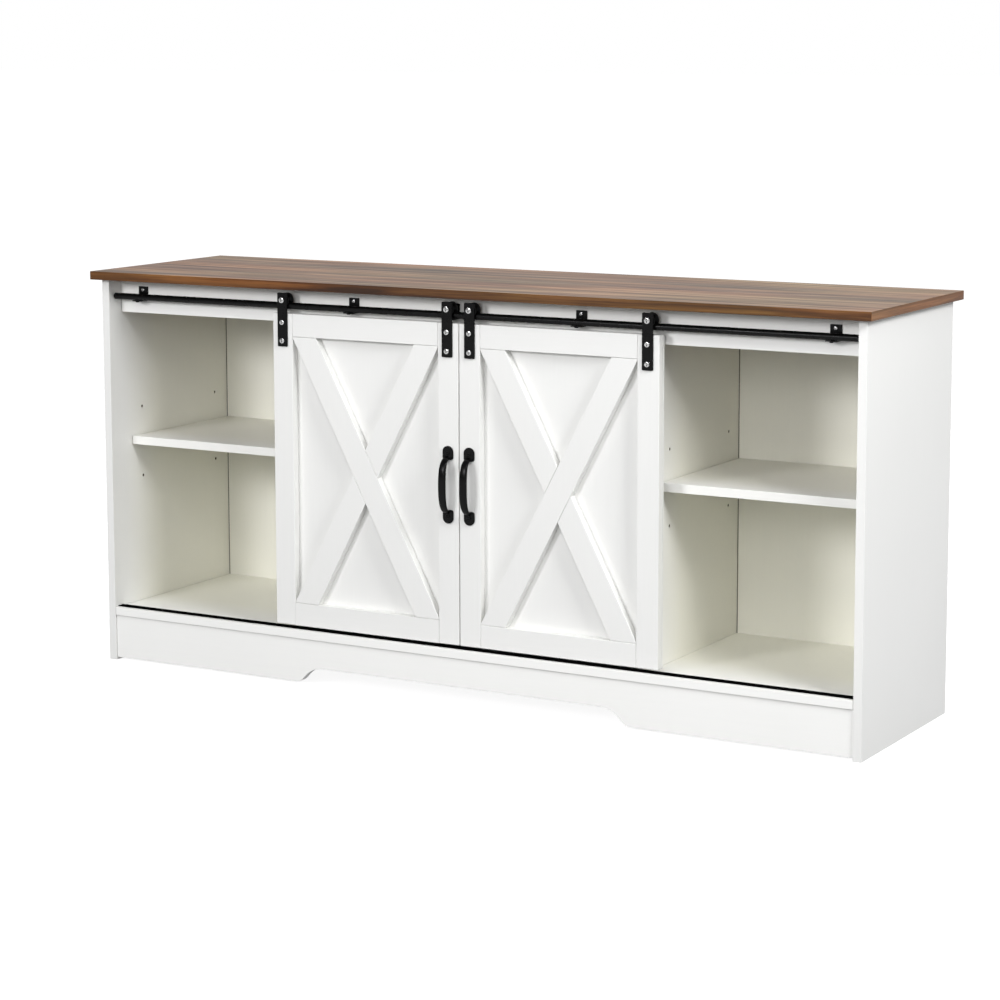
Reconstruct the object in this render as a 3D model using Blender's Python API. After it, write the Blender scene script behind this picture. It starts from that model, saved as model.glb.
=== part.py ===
"""Media console with a pair of sliding barn doors.

A flat panel carcass has a centre bay and two side bays with one shelf each.
Two framed doors hang from a round rail by grooved rollers and cover the centre bay.
The origin is on the floor under the middle of the top, and the front faces -Y.
"""

import math

import bmesh
import bpy
from mathutils import Vector

# Overall size
OVERALL_WIDTH = 1.4986
OVERALL_DEPTH = 0.3988
OVERALL_HEIGHT = 0.7112

# Sheet thicknesses, the clearance left between pieces that touch, and how far cuts overshoot
BOARD = 0.015
THIN_SHEET = 0.003
GAP = 0.0003
OVERSHOOT = 0.001

# Steps around turned pieces
COARSE = 12
MEDIUM = 16
FINE = 24
HEXAGON = 6

# Top panel
TOP_SIDE_OVERHANG = 0.0128
TOP_FRONT_OVERHANG = 0.0184

# Front plane of the side panels, from which every setback is measured
FRONT = -OVERALL_DEPTH / 2 + TOP_FRONT_OVERHANG

# Carcass
SIDE_DEPTH = 0.3653
SIDE_OUTER = OVERALL_WIDTH / 2 - TOP_SIDE_OVERHANG
SIDE_INNER = SIDE_OUTER - BOARD
TOP_UNDERSIDE = OVERALL_HEIGHT - BOARD
FLOOR_PANEL_BOTTOM = 0.083
FLOOR_PANEL_TOP = FLOOR_PANEL_BOTTOM + BOARD
BACK_FACE = FRONT + 0.3567
BACK_GROOVE_DEPTH = 0.0055
BACK_TONGUE = 0.005
FASCIA_SETBACK = 0.035
FASCIA_BOTTOM = 0.6352
DIVIDER_OUTER = 0.3552
DIVIDER_INNER = DIVIDER_OUTER - BOARD

# Kick board with its arched cut-out
KICK_SETBACK = 0.0025
KICK_BOTTOM = 0.005
ARCH_FLAT_HALF = 0.2727
ARCH_HEIGHT = 0.0282
ARCH_UPPER_RADIUS = 0.050
ARCH_LOWER_RADIUS = 0.0223
ARCH_STEPS = 8

# Shelves, their pins and the pin holes
SHELF_TOP = 0.4058
SHELF_SETBACK = 0.0574
SHELF_END_GAP = 0.002
SHELF_BACK_GAP = 0.001
PIN_ROW_SETBACKS = (0.0908, 0.3176)
PIN_HOLE_MIDDLE = 0.3925
PIN_HOLE_PITCH = 0.064
PIN_HOLE_RADIUS = 0.0028
PIN_HOLE_DEPTH = 0.010
PIN_RADIUS = 0.0025
PIN_COLLAR_RADIUS = 0.004
PIN_COLLAR = 0.0015
PIN_TONGUE_LENGTH = 0.008
PIN_TONGUE_WIDTH = 0.007
PIN_TONGUE_THICKNESS = 0.002

# Rail rod and its brackets
ROD_RADIUS = 0.0058
ROD_Y = FRONT + 0.0155
ROD_Z = 0.6657
ROD_HALF_LENGTH = 0.7195
BRACKET_X = (-0.670, -0.2207, -0.0205, 0.2212, 0.6697)
BRACKET_WIDTH = 0.020
BRACKET_STEEL = 0.002
BRACKET_TOP = 0.6833
BRACKET_REACH = FRONT + 0.0135

# Floor track
TRACK_Y = FRONT + 0.015
TRACK_FLANGE_HALF = 0.007
TRACK_FLANGE = 0.0017
TRACK_WALL = 0.002
TRACK_FLOOR = 0.001
TRACK_SLOT_HALF = 0.0019
TRACK_DEPTH = 0.0084

# Doors
DOOR_WIDTH = 0.373
DOOR_BOTTOM = 0.1048
DOOR_TOP = 0.6526
DOOR_FRONT = FRONT + 0.0075
DOOR_MEETING_X = 0.0026
DOOR_MEETING_GAP = 0.002
FRAME_WIDTH = 0.0398
BRACE_SETBACK = 0.0005
BRACE_RAIL_CUT = 0.0475
BRACE_STILE_CUT = 0.0025

# Hangers: strap, grooved roller and axle bolt
HANGER_OFFSETS = (-0.1655, 0.166)
STRAP_WIDTH = 0.0197
STRAP_THICKNESS = 0.0027
STRAP_BOTTOM = 0.5952
STRAP_TOP = 0.6885
STRAP_CORNER = 0.002
ROLLER_RUNNING_RADIUS = 0.0042
ROLLER_FLANGE_RADIUS = 0.012
ROLLER_RIM = 0.0006
ROLLER_WIDTH = 0.016
ROLLER_BORE_RADIUS = 0.0028
ROLLER_Z = ROD_Z + ROD_RADIUS + GAP + ROLLER_RUNNING_RADIUS
ROLLER_STEPS = 32
AXLE_RADIUS = 0.0025
AXLE_HEAD = 0.0028
AXLE_HEAD_CROWN = 0.0021
AXLE_HEAD_EDGE = 0.0012
AXLE_HEAD_RADII = (0.0029, 0.0044, 0.00525)
AXLE_NUT_RADIUS = 0.0046
AXLE_NUT = 0.004
AXLE_TIP = 0.001

# Door handle
HANDLE_OFFSET = 0.1669
HANDLE_Z = 0.3793
HANDLE_HALF_HEIGHT = 0.0662
HANDLE_PLATE_HALF_WIDTH = 0.01015
HANDLE_PLATE_INNER = 0.0425
HANDLE_PLATE_THICKNESS = 0.003
HANDLE_SHOULDER = 0.0045
HANDLE_PROJECTION = 0.0255
HANDLE_GRIP_HALF_SPAN = 0.0455
HANDLE_GRIP_EXPONENT = 2.6
HANDLE_GRIP_WIDTHS = (0.009, 0.0135)
HANDLE_GRIP_THICKNESSES = (0.0058, 0.0072)
HANDLE_SECTION_EXPONENT = 0.6
HANDLE_PATH_STEPS = 28
HANDLE_DIRECTION_STEP = 0.002

# Door guide pin, which runs in the floor track
GUIDE_PIN_RADIUS = 0.0015
GUIDE_PIN_BOTTOM = 0.092
GUIDE_PIN_INSERT = 0.012
GUIDE_HOLE_RADIUS = 0.0018


def make_material(name, colour, roughness, metallic=0.0):
    """A Principled material in one colour."""
    material = bpy.data.materials.new(name)
    material.use_nodes = True
    shader = material.node_tree.nodes["Principled BSDF"]
    shader.inputs["Base Color"].default_value = (*colour, 1.0)
    shader.inputs["Roughness"].default_value = roughness
    shader.inputs["Metallic"].default_value = metallic
    return material


def add_object(name, mesh_data, material, origin, parent=None):
    """Turn a bmesh in world coordinates into an object with the given origin."""
    bmesh.ops.translate(mesh_data, vec=-Vector(origin), verts=mesh_data.verts)
    bmesh.ops.recalc_face_normals(mesh_data, faces=mesh_data.faces)
    mesh = bpy.data.meshes.new(name)
    mesh_data.to_mesh(mesh)
    mesh_data.free()
    if material:
        mesh.materials.append(material)
    item = bpy.data.objects.new(name, mesh)
    bpy.context.collection.objects.link(item)
    item.location = origin
    if parent:
        item.parent = parent
        item.location = Vector(origin) - parent.location
    return item


def shade_round(item, angle_degrees=35):
    """Shade a turned or swept piece smooth, but keep its real edges sharp."""
    item.data.shade_smooth()
    item.data.set_sharp_from_angle(angle=math.radians(angle_degrees))


def box_mesh(low, high):
    """A closed box between two corners."""
    mesh_data = bmesh.new()
    bmesh.ops.create_cube(mesh_data, size=1.0)
    size = Vector(high) - Vector(low)
    bmesh.ops.scale(mesh_data, vec=size, verts=mesh_data.verts)
    bmesh.ops.translate(mesh_data, vec=(Vector(high) + Vector(low)) / 2, verts=mesh_data.verts)
    return mesh_data


def prism_mesh(outline, axis, low, high):
    """Extrude an outline of 2D points along X, Y or Z between two coordinates."""
    slot = "XYZ".index(axis)
    mesh_data = bmesh.new()
    corners = []
    for first, second in outline:
        point = [first, second]
        point.insert(slot, low)
        corners.append(mesh_data.verts.new(point))
    cap = mesh_data.faces.new(corners)
    grown = bmesh.ops.extrude_face_region(mesh_data, geom=[cap])
    moved = [part for part in grown["geom"] if isinstance(part, bmesh.types.BMVert)]
    shift = Vector((0.0, 0.0, 0.0))
    shift[slot] = high - low
    bmesh.ops.translate(mesh_data, vec=shift, verts=moved)
    return mesh_data


def turned_mesh(profile, axis, centre, segments, ring=False):
    """Turn (along, radius) points about an axis through centre.

    A ring profile closes on itself and leaves a bore. Any other has flat end caps.
    """
    slot = "XYZ".index(axis)
    mesh_data = bmesh.new()
    rings = []
    for along, radius in profile:
        loop = []
        for step in range(segments):
            angle = 2 * math.pi * (step + 0.5) / segments
            point = [radius * math.cos(angle), radius * math.sin(angle)]
            point.insert(slot, along)
            loop.append(mesh_data.verts.new(Vector(centre) + Vector(point)))
        rings.append(loop)
    pairs = list(zip(rings, rings[1:]))
    if ring:
        pairs.append((rings[-1], rings[0]))
    for near, far in pairs:
        for step in range(segments):
            after = (step + 1) % segments
            mesh_data.faces.new((near[step], near[after], far[after], far[step]))
    if not ring:
        mesh_data.faces.new(rings[0])
        mesh_data.faces.new(rings[-1])
    return mesh_data


def boolean(item, other_mesh, operation):
    """Join or cut an object with a bmesh in world coordinates, and keep the result."""
    bpy.context.view_layer.update()
    other = add_object("tool", other_mesh, None, (0.0, 0.0, 0.0))
    step = item.modifiers.new(operation.lower(), "BOOLEAN")
    step.operation = operation
    step.solver = "EXACT"
    step.object = other
    graph = bpy.context.evaluated_depsgraph_get()
    result = bpy.data.meshes.new_from_object(item.evaluated_get(graph))
    item.modifiers.clear()
    item.data = result
    bpy.data.objects.remove(other, do_unlink=True)


def merged(parts):
    """One bmesh with the separate solids of several, for a cut with many holes."""
    total = bmesh.new()
    for part in parts:
        piece = bpy.data.meshes.new("part")
        bmesh.ops.recalc_face_normals(part, faces=part.faces)
        part.to_mesh(piece)
        part.free()
        total.from_mesh(piece)
    return total


def arc(centre, radius, start, end, steps):
    """Points along an arc, angles in radians, both ends included."""
    points = []
    for step in range(steps + 1):
        angle = start + (end - start) * step / steps
        across = centre[0] + radius * math.cos(angle)
        up = centre[1] + radius * math.sin(angle)
        points.append((across, up))
    return points


def rounded_outline(low, high, radius, steps=4):
    """A rectangle with four round corners."""
    quarter = math.pi / 2
    corners = (
        (high[0] - radius, high[1] - radius, 0),
        (low[0] + radius, high[1] - radius, 1),
        (low[0] + radius, low[1] + radius, 2),
        (high[0] - radius, low[1] + radius, 3),
    )
    outline = []
    for across, up, turn in corners:
        outline += arc((across, up), radius, turn * quarter, (turn + 1) * quarter, steps)
    return outline


def middle(low, high):
    """The centre of a box."""
    return (Vector(low) + Vector(high)) / 2


def add_panel(name, low, high, material, parent=None):
    """A plain rectangular board."""
    return add_object(name, box_mesh(low, high), material, middle(low, high), parent)


def pin_hole_cutters(face_x, inward):
    """Blind shelf pin holes in one face of an upright; inward is the drilling direction."""
    cutters = []
    for setback in PIN_ROW_SETBACKS:
        for row in (-1, 0, 1):
            centre = (face_x, FRONT + setback, PIN_HOLE_MIDDLE + row * PIN_HOLE_PITCH)
            mouth = (-inward * OVERSHOOT, PIN_HOLE_RADIUS)
            bottom = (inward * PIN_HOLE_DEPTH, PIN_HOLE_RADIUS)
            cutters.append(turned_mesh((mouth, bottom), "X", centre, MEDIUM))
    return merged(cutters)


def add_side_panels(material):
    """Uprights at both ends, grooved for the back and drilled for shelf pins."""
    for name, side in (("left_side_panel", -1), ("right_side_panel", 1)):
        inner = side * SIDE_INNER
        outer = side * SIDE_OUTER
        low = (min(inner, outer), FRONT, 0.0)
        high = (max(inner, outer), FRONT + SIDE_DEPTH, TOP_UNDERSIDE - GAP)
        panel = add_panel(name, low, high, material)
        groove_end = inner + side * BACK_GROOVE_DEPTH
        groove_open = inner - side * OVERSHOOT
        groove_back = BACK_FACE + THIN_SHEET + GAP
        groove_low = (min(groove_end, groove_open), BACK_FACE - GAP, -OVERSHOOT)
        groove_high = (max(groove_end, groove_open), groove_back, TOP_UNDERSIDE + OVERSHOOT)
        boolean(panel, box_mesh(groove_low, groove_high), "DIFFERENCE")
        boolean(panel, pin_hole_cutters(inner, side), "DIFFERENCE")


def add_dividers(material):
    """Uprights between the bays, drilled for shelf pins on their outer faces."""
    for name, side in (("left_divider", -1), ("right_divider", 1)):
        inner = side * DIVIDER_INNER
        outer = side * DIVIDER_OUTER
        front = FRONT + FASCIA_SETBACK + BOARD + GAP
        low = (min(inner, outer), front, FLOOR_PANEL_TOP + GAP)
        high = (max(inner, outer), BACK_FACE - GAP, TOP_UNDERSIDE - GAP)
        panel = add_panel(name, low, high, material)
        boolean(panel, pin_hole_cutters(outer, -side), "DIFFERENCE")


def add_floor_panel(material):
    """Bottom panel with the groove that holds the floor track."""
    half = SIDE_INNER - GAP
    low = (-half, FRONT, FLOOR_PANEL_BOTTOM)
    high = (half, BACK_FACE - GAP, FLOOR_PANEL_TOP)
    panel = add_panel("bottom_panel", low, high, material)
    groove_half = TRACK_SLOT_HALF + TRACK_WALL + GAP
    groove_bottom = FLOOR_PANEL_TOP - TRACK_DEPTH
    groove_low = (-half - OVERSHOOT, TRACK_Y - groove_half, groove_bottom)
    groove_high = (half + OVERSHOOT, TRACK_Y + groove_half, FLOOR_PANEL_TOP + OVERSHOOT)
    boolean(panel, box_mesh(groove_low, groove_high), "DIFFERENCE")


def add_back_panels(material):
    """Three thin sheets that meet behind the dividers."""
    seam = (DIVIDER_OUTER + DIVIDER_INNER) / 2
    end = SIDE_INNER + BACK_TONGUE
    spans = (
        ("back_panel_left", -end, -seam - GAP / 2),
        ("back_panel_center", -seam + GAP / 2, seam - GAP / 2),
        ("back_panel_right", seam + GAP / 2, end),
    )
    for name, start, stop in spans:
        low = (start, BACK_FACE, FLOOR_PANEL_BOTTOM)
        high = (stop, BACK_FACE + THIN_SHEET, TOP_UNDERSIDE - GAP)
        add_panel(name, low, high, material)


def kick_outline():
    """Front view of the kick board: a board whose lower edge rises in a flat arch."""
    reach = ARCH_UPPER_RADIUS + ARCH_LOWER_RADIUS
    sweep = math.acos(1 - ARCH_HEIGHT / reach)
    foot_x = ARCH_FLAT_HALF + reach * math.sin(sweep)
    crown = KICK_BOTTOM + ARCH_HEIGHT
    upper_centre = (ARCH_FLAT_HALF, crown - ARCH_UPPER_RADIUS)
    lower_centre = (foot_x, KICK_BOTTOM + ARCH_LOWER_RADIUS)
    quarter = math.pi / 2
    upper = arc(upper_centre, ARCH_UPPER_RADIUS, quarter, quarter - sweep, ARCH_STEPS)
    lower = arc(lower_centre, ARCH_LOWER_RADIUS, -quarter - sweep, -quarter, ARCH_STEPS // 2)
    right_curve = upper + lower[1:]
    left_curve = [(-across, up) for across, up in reversed(right_curve)]
    half = SIDE_INNER - GAP
    top = FLOOR_PANEL_BOTTOM - GAP
    feet = [(half, KICK_BOTTOM), (half, top), (-half, top), (-half, KICK_BOTTOM)]
    return left_curve + right_curve + feet


def add_carcass(white, sheet, brown):
    """Every fixed board of the cabinet."""
    half_width = OVERALL_WIDTH / 2
    half_depth = OVERALL_DEPTH / 2
    top_low = (-half_width, -half_depth, TOP_UNDERSIDE)
    top_high = (half_width, half_depth, OVERALL_HEIGHT)
    add_panel("top_panel", top_low, top_high, brown)
    add_side_panels(white)
    add_dividers(white)
    add_floor_panel(white)
    add_back_panels(sheet)
    kick_front = FRONT + KICK_SETBACK
    kick = prism_mesh(kick_outline(), "Y", kick_front, kick_front + BOARD)
    add_object("kick_board", kick, white, (0.0, kick_front, FLOOR_PANEL_BOTTOM))
    half = SIDE_INNER - GAP
    fascia_low = (-half, FRONT + FASCIA_SETBACK, FASCIA_BOTTOM)
    fascia_high = (half, FRONT + FASCIA_SETBACK + BOARD, TOP_UNDERSIDE - GAP)
    add_panel("front_fascia", fascia_low, fascia_high, white)


def add_shelf_pin(name, face_x, inward, setback, material):
    """A turned pin with a collar, and a flat tongue that the shelf rests on."""
    axis_z = PIN_HOLE_MIDDLE
    centre = (face_x, FRONT + setback, axis_z)
    tail = -inward * (PIN_HOLE_DEPTH - 2 * GAP)
    seat = inward * GAP
    collar_end = inward * (GAP + PIN_COLLAR)
    profile = (
        (tail, PIN_RADIUS),
        (seat, PIN_RADIUS),
        (seat, PIN_COLLAR_RADIUS),
        (collar_end, PIN_COLLAR_RADIUS),
    )
    pin = add_object(name, turned_mesh(profile, "X", centre, MEDIUM), material, centre)
    tongue_start = face_x + inward * (GAP + PIN_COLLAR / 2)
    tongue_end = face_x + inward * (GAP + PIN_COLLAR + PIN_TONGUE_LENGTH)
    tongue_top = SHELF_TOP - BOARD - GAP
    low = (
        min(tongue_start, tongue_end),
        FRONT + setback - PIN_TONGUE_WIDTH / 2,
        tongue_top - PIN_TONGUE_THICKNESS,
    )
    high = (max(tongue_start, tongue_end), FRONT + setback + PIN_TONGUE_WIDTH / 2, tongue_top)
    boolean(pin, box_mesh(low, high), "UNION")


def add_shelves(white, steel):
    """One shelf in each side bay, on four pins."""
    for label, side in (("left", -1), ("right", 1)):
        outer = side * (SIDE_INNER - SHELF_END_GAP)
        inner = side * (DIVIDER_OUTER + SHELF_END_GAP)
        low = (min(inner, outer), FRONT + SHELF_SETBACK, SHELF_TOP - BOARD)
        high = (max(inner, outer), BACK_FACE - SHELF_BACK_GAP, SHELF_TOP)
        add_panel(label + "_shelf", low, high, white)
        ends = (("outer", SIDE_INNER, -side), ("inner", DIVIDER_OUTER, side))
        for end, face_x, inward in ends:
            for row, setback in zip(("front", "rear"), PIN_ROW_SETBACKS):
                name = "_".join((label, "shelf_pin", end, row))
                add_shelf_pin(name, side * face_x, inward, setback, steel)


def add_rail(black):
    """Round rail rod on five angle brackets that are screwed to the fascia."""
    profile = ((-ROD_HALF_LENGTH, ROD_RADIUS), (ROD_HALF_LENGTH, ROD_RADIUS))
    centre = (0.0, ROD_Y, ROD_Z)
    rod = add_object("rail_rod", turned_mesh(profile, "X", centre, FINE), black, centre)
    shade_round(rod)
    plate_back = FRONT + FASCIA_SETBACK - GAP
    plate_front = plate_back - BRACKET_STEEL
    arm_top = ROD_Z - ROD_RADIUS - GAP
    arm_bottom = arm_top - BRACKET_STEEL
    outline = (
        (plate_back, arm_bottom),
        (plate_back, BRACKET_TOP),
        (plate_front, BRACKET_TOP),
        (plate_front, arm_top),
        (BRACKET_REACH, arm_top),
        (BRACKET_REACH, arm_bottom),
    )
    for number, place in enumerate(BRACKET_X, 1):
        low = place - BRACKET_WIDTH / 2
        high = place + BRACKET_WIDTH / 2
        bracket = prism_mesh(outline, "X", low, high)
        add_object(f"rail_bracket_{number}", bracket, black, (place, plate_back, arm_bottom))


def add_floor_track(black):
    """Slotted guide strip let into the bottom panel."""
    base = FLOOR_PANEL_TOP + GAP
    top = base + TRACK_FLANGE
    bottom = base - TRACK_DEPTH
    wall = TRACK_SLOT_HALF + TRACK_WALL
    outline = (
        (TRACK_Y - TRACK_FLANGE_HALF, top),
        (TRACK_Y - TRACK_FLANGE_HALF, base),
        (TRACK_Y - wall, base),
        (TRACK_Y - wall, bottom),
        (TRACK_Y + wall, bottom),
        (TRACK_Y + wall, base),
        (TRACK_Y + TRACK_FLANGE_HALF, base),
        (TRACK_Y + TRACK_FLANGE_HALF, top),
        (TRACK_Y + TRACK_SLOT_HALF, top),
        (TRACK_Y + TRACK_SLOT_HALF, bottom + TRACK_FLOOR),
        (TRACK_Y - TRACK_SLOT_HALF, bottom + TRACK_FLOOR),
        (TRACK_Y - TRACK_SLOT_HALF, top),
    )
    half = SIDE_INNER - GAP
    track = prism_mesh(outline, "X", -half, half)
    add_object("bottom_track", track, black, (0.0, TRACK_Y, base))


def add_door_frame(label, left_x, white, sheet, parent):
    """Two stiles, two rails between them, and a thin panel over their backs."""
    right_x = left_x + DOOR_WIDTH
    centre_x = left_x + DOOR_WIDTH / 2
    frame_back = DOOR_FRONT + BOARD
    for part, start in (("left_stile", left_x), ("right_stile", right_x - FRAME_WIDTH)):
        low = (start, DOOR_FRONT, DOOR_BOTTOM)
        high = (start + FRAME_WIDTH, frame_back, DOOR_TOP)
        add_panel(f"{label}_{part}", low, high, white, parent)
    inner_left = left_x + FRAME_WIDTH + GAP
    inner_right = right_x - FRAME_WIDTH - GAP
    for part, start in (("bottom_rail", DOOR_BOTTOM), ("top_rail", DOOR_TOP - FRAME_WIDTH)):
        low = (inner_left, DOOR_FRONT, start)
        high = (inner_right, frame_back, start + FRAME_WIDTH)
        rail = add_panel(f"{label}_{part}", low, high, white, parent)
        if part == "bottom_rail":
            mouth = (DOOR_BOTTOM - OVERSHOOT, GUIDE_HOLE_RADIUS)
            end = (DOOR_BOTTOM + GUIDE_PIN_INSERT + GAP, GUIDE_HOLE_RADIUS)
            hole = turned_mesh((mouth, end), "Z", (centre_x, TRACK_Y, 0.0), COARSE)
            boolean(rail, hole, "DIFFERENCE")
    panel_low = (left_x, frame_back + GAP, DOOR_BOTTOM)
    panel_high = (right_x, frame_back + GAP + THIN_SHEET, DOOR_TOP)
    add_panel(f"{label}_panel", panel_low, panel_high, sheet, parent)


def clipped(outline, normal, limit):
    """The part of a convex outline where the dot product with normal is at least limit."""
    result = []
    for start, end in zip(outline, outline[1:] + outline[:1]):
        start_side = start[0] * normal[0] + start[1] * normal[1] - limit
        end_side = end[0] * normal[0] + end[1] * normal[1] - limit
        if start_side >= 0:
            result.append(start)
        if start_side * end_side < 0:
            share = start_side / (start_side - end_side)
            across = start[0] + (end[0] - start[0]) * share
            up = start[1] + (end[1] - start[1]) * share
            result.append((across, up))
    return result


def add_door_braces(label, left_x, rising, white, parent):
    """Crossed diagonals over the panel: one whole, the other in two halves.

    The whole brace rises to the right if rising is true.
    """
    half_wide = DOOR_WIDTH / 2 - FRAME_WIDTH - GAP
    half_tall = (DOOR_TOP - DOOR_BOTTOM) / 2 - FRAME_WIDTH - GAP
    falling_band = [
        (-half_wide, half_tall),
        (-half_wide + BRACE_RAIL_CUT, half_tall),
        (half_wide, -half_tall + BRACE_STILE_CUT),
        (half_wide, -half_tall),
        (half_wide - BRACE_RAIL_CUT, -half_tall),
        (-half_wide, half_tall - BRACE_STILE_CUT),
    ]
    run = 2 * half_wide - BRACE_RAIL_CUT
    drop = 2 * half_tall - BRACE_STILE_CUT
    slope = math.atan2(drop, run)
    edge = (half_wide - run / 2) * math.sin(slope) + (half_tall - drop / 2) * math.cos(slope)
    crossing_normal = (-math.sin(slope), math.cos(slope))
    rising_band = [(-across, up) for across, up in falling_band]
    upper_half = clipped(rising_band, (-crossing_normal[0], crossing_normal[1]), edge + GAP)
    lower_half = clipped(rising_band, (crossing_normal[0], -crossing_normal[1]), edge + GAP)
    shapes = (
        ("long_brace", falling_band),
        ("upper_brace", upper_half),
        ("lower_brace", lower_half),
    )
    front = DOOR_FRONT + BRACE_SETBACK
    back = DOOR_FRONT + BOARD
    centre_x = left_x + DOOR_WIDTH / 2
    centre_z = (DOOR_BOTTOM + DOOR_TOP) / 2
    mirror = -1 if rising else 1
    for part, shape in shapes:
        outline = [(centre_x + mirror * across, centre_z + up) for across, up in shape]
        brace = prism_mesh(outline, "Y", front, back)
        add_object(f"{label}_{part}", brace, white, (centre_x, front, centre_z), parent)


def handle_plate_outline(direction):
    """End plate of the handle: a round outer end, straight sides and rounded shoulders."""
    quarter = math.pi / 2
    outer_centre = HANDLE_HALF_HEIGHT - HANDLE_PLATE_HALF_WIDTH
    shoulder_x = HANDLE_PLATE_HALF_WIDTH - HANDLE_SHOULDER
    shoulder_z = HANDLE_PLATE_INNER + HANDLE_SHOULDER
    left_shoulder = (-shoulder_x, shoulder_z)
    right_shoulder = (shoulder_x, shoulder_z)
    outline = arc((0.0, outer_centre), HANDLE_PLATE_HALF_WIDTH, 0.0, 2 * quarter, COARSE)
    outline += arc(left_shoulder, HANDLE_SHOULDER, 2 * quarter, 3 * quarter, HEXAGON)
    outline += arc(right_shoulder, HANDLE_SHOULDER, 3 * quarter, 4 * quarter, HEXAGON)
    return [(across, direction * up) for across, up in outline]


def signed_power(value, exponent):
    """A power that keeps the sign, for rounded-square curves."""
    return math.copysign(abs(value) ** exponent, value)


def grip_point(centre, door_face, share):
    """A place on the middle line of the grip; share runs from 0 at the bottom to 1."""
    angle = math.pi * min(max(share, 0.0), 1.0)
    power = 2 / HANDLE_GRIP_EXPONENT
    root = door_face - HANDLE_PLATE_THICKNESS / 2
    reach = HANDLE_PROJECTION - (HANDLE_GRIP_THICKNESSES[1] + HANDLE_PLATE_THICKNESS) / 2
    forward = max(math.sin(angle), 0.0) ** power
    side = signed_power(math.cos(angle), power)
    return Vector((centre[0], root - reach * forward, centre[2] - HANDLE_GRIP_HALF_SPAN * side))


def handle_grip_mesh(centre, door_face):
    """Arched grip: a rounded bar swept from plate to plate, widest in the middle."""
    mesh_data = bmesh.new()
    rings = []
    for step in range(HANDLE_PATH_STEPS + 1):
        share = step / HANDLE_PATH_STEPS
        place = grip_point(centre, door_face, share)
        ahead = grip_point(centre, door_face, share + HANDLE_DIRECTION_STEP)
        behind = grip_point(centre, door_face, share - HANDLE_DIRECTION_STEP)
        normal = Vector((1.0, 0.0, 0.0)).cross((ahead - behind).normalized())
        swell = math.sin(math.pi * share)
        narrow, wide = HANDLE_GRIP_WIDTHS
        thin, thick = HANDLE_GRIP_THICKNESSES
        half_width = (narrow + (wide - narrow) * swell) / 2
        half_thick = (thin + (thick - thin) * swell) / 2
        loop = []
        for corner in range(MEDIUM):
            angle = 2 * math.pi * corner / MEDIUM
            across = half_width * signed_power(math.cos(angle), HANDLE_SECTION_EXPONENT)
            out = half_thick * signed_power(math.sin(angle), HANDLE_SECTION_EXPONENT)
            loop.append(mesh_data.verts.new(place + Vector((across, 0.0, 0.0)) + normal * out))
        rings.append(loop)
    for near, far in zip(rings, rings[1:]):
        for corner in range(MEDIUM):
            after = (corner + 1) % MEDIUM
            mesh_data.faces.new((near[corner], near[after], far[after], far[corner]))
    mesh_data.faces.new(rings[0])
    mesh_data.faces.new(rings[-1])
    return mesh_data


def add_handle(label, centre_x, black, parent):
    """Arched pull with a flat plate at each end."""
    door_face = DOOR_FRONT - GAP
    centre = (centre_x, door_face, HANDLE_Z)
    grip = handle_grip_mesh(centre, door_face)
    handle = add_object(f"{label}_handle", grip, black, centre, parent)
    for direction in (-1, 1):
        shape = handle_plate_outline(direction)
        outline = [(centre_x + across, HANDLE_Z + up) for across, up in shape]
        plate = prism_mesh(outline, "Y", door_face - HANDLE_PLATE_THICKNESS, door_face)
        boolean(handle, plate, "UNION")
    shade_round(handle)


def roller_profile():
    """Half-section of a grooved roller: bore, flanges and a round groove for the rod."""
    half = ROLLER_WIDTH / 2
    groove_radius = ROD_RADIUS + GAP
    groove_centre = ROLLER_RUNNING_RADIUS + groove_radius
    flare = ROLLER_FLANGE_RADIUS - groove_centre
    groove = arc((0.0, groove_centre), groove_radius, -math.pi, 0.0, COARSE)
    return [
        (-half, ROLLER_BORE_RADIUS),
        (-half, ROLLER_FLANGE_RADIUS - ROLLER_RIM),
        (-half + ROLLER_RIM, ROLLER_FLANGE_RADIUS),
        (-groove_radius - flare / 2, ROLLER_FLANGE_RADIUS),
        *groove,
        (groove_radius + flare / 2, ROLLER_FLANGE_RADIUS),
        (half - ROLLER_RIM, ROLLER_FLANGE_RADIUS),
        (half, ROLLER_FLANGE_RADIUS - ROLLER_RIM),
        (half, ROLLER_BORE_RADIUS),
    ]


def add_strap(name, centre_x, black, parent):
    """Flat strap on the door face, with a hole for the axle bolt."""
    back = DOOR_FRONT - GAP
    front = back - STRAP_THICKNESS
    low = (centre_x - STRAP_WIDTH / 2, STRAP_BOTTOM)
    high = (centre_x + STRAP_WIDTH / 2, STRAP_TOP)
    outline = rounded_outline(low, high, STRAP_CORNER)
    strap_mesh = prism_mesh(outline, "Y", front, back)
    strap = add_object(name, strap_mesh, black, (centre_x, front, ROLLER_Z), parent)
    mouth = (front - OVERSHOOT, ROLLER_BORE_RADIUS)
    end = (back + OVERSHOOT, ROLLER_BORE_RADIUS)
    hole = turned_mesh((mouth, end), "Y", (centre_x, 0.0, ROLLER_Z), FINE)
    boolean(strap, hole, "DIFFERENCE")
    return front


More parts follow.
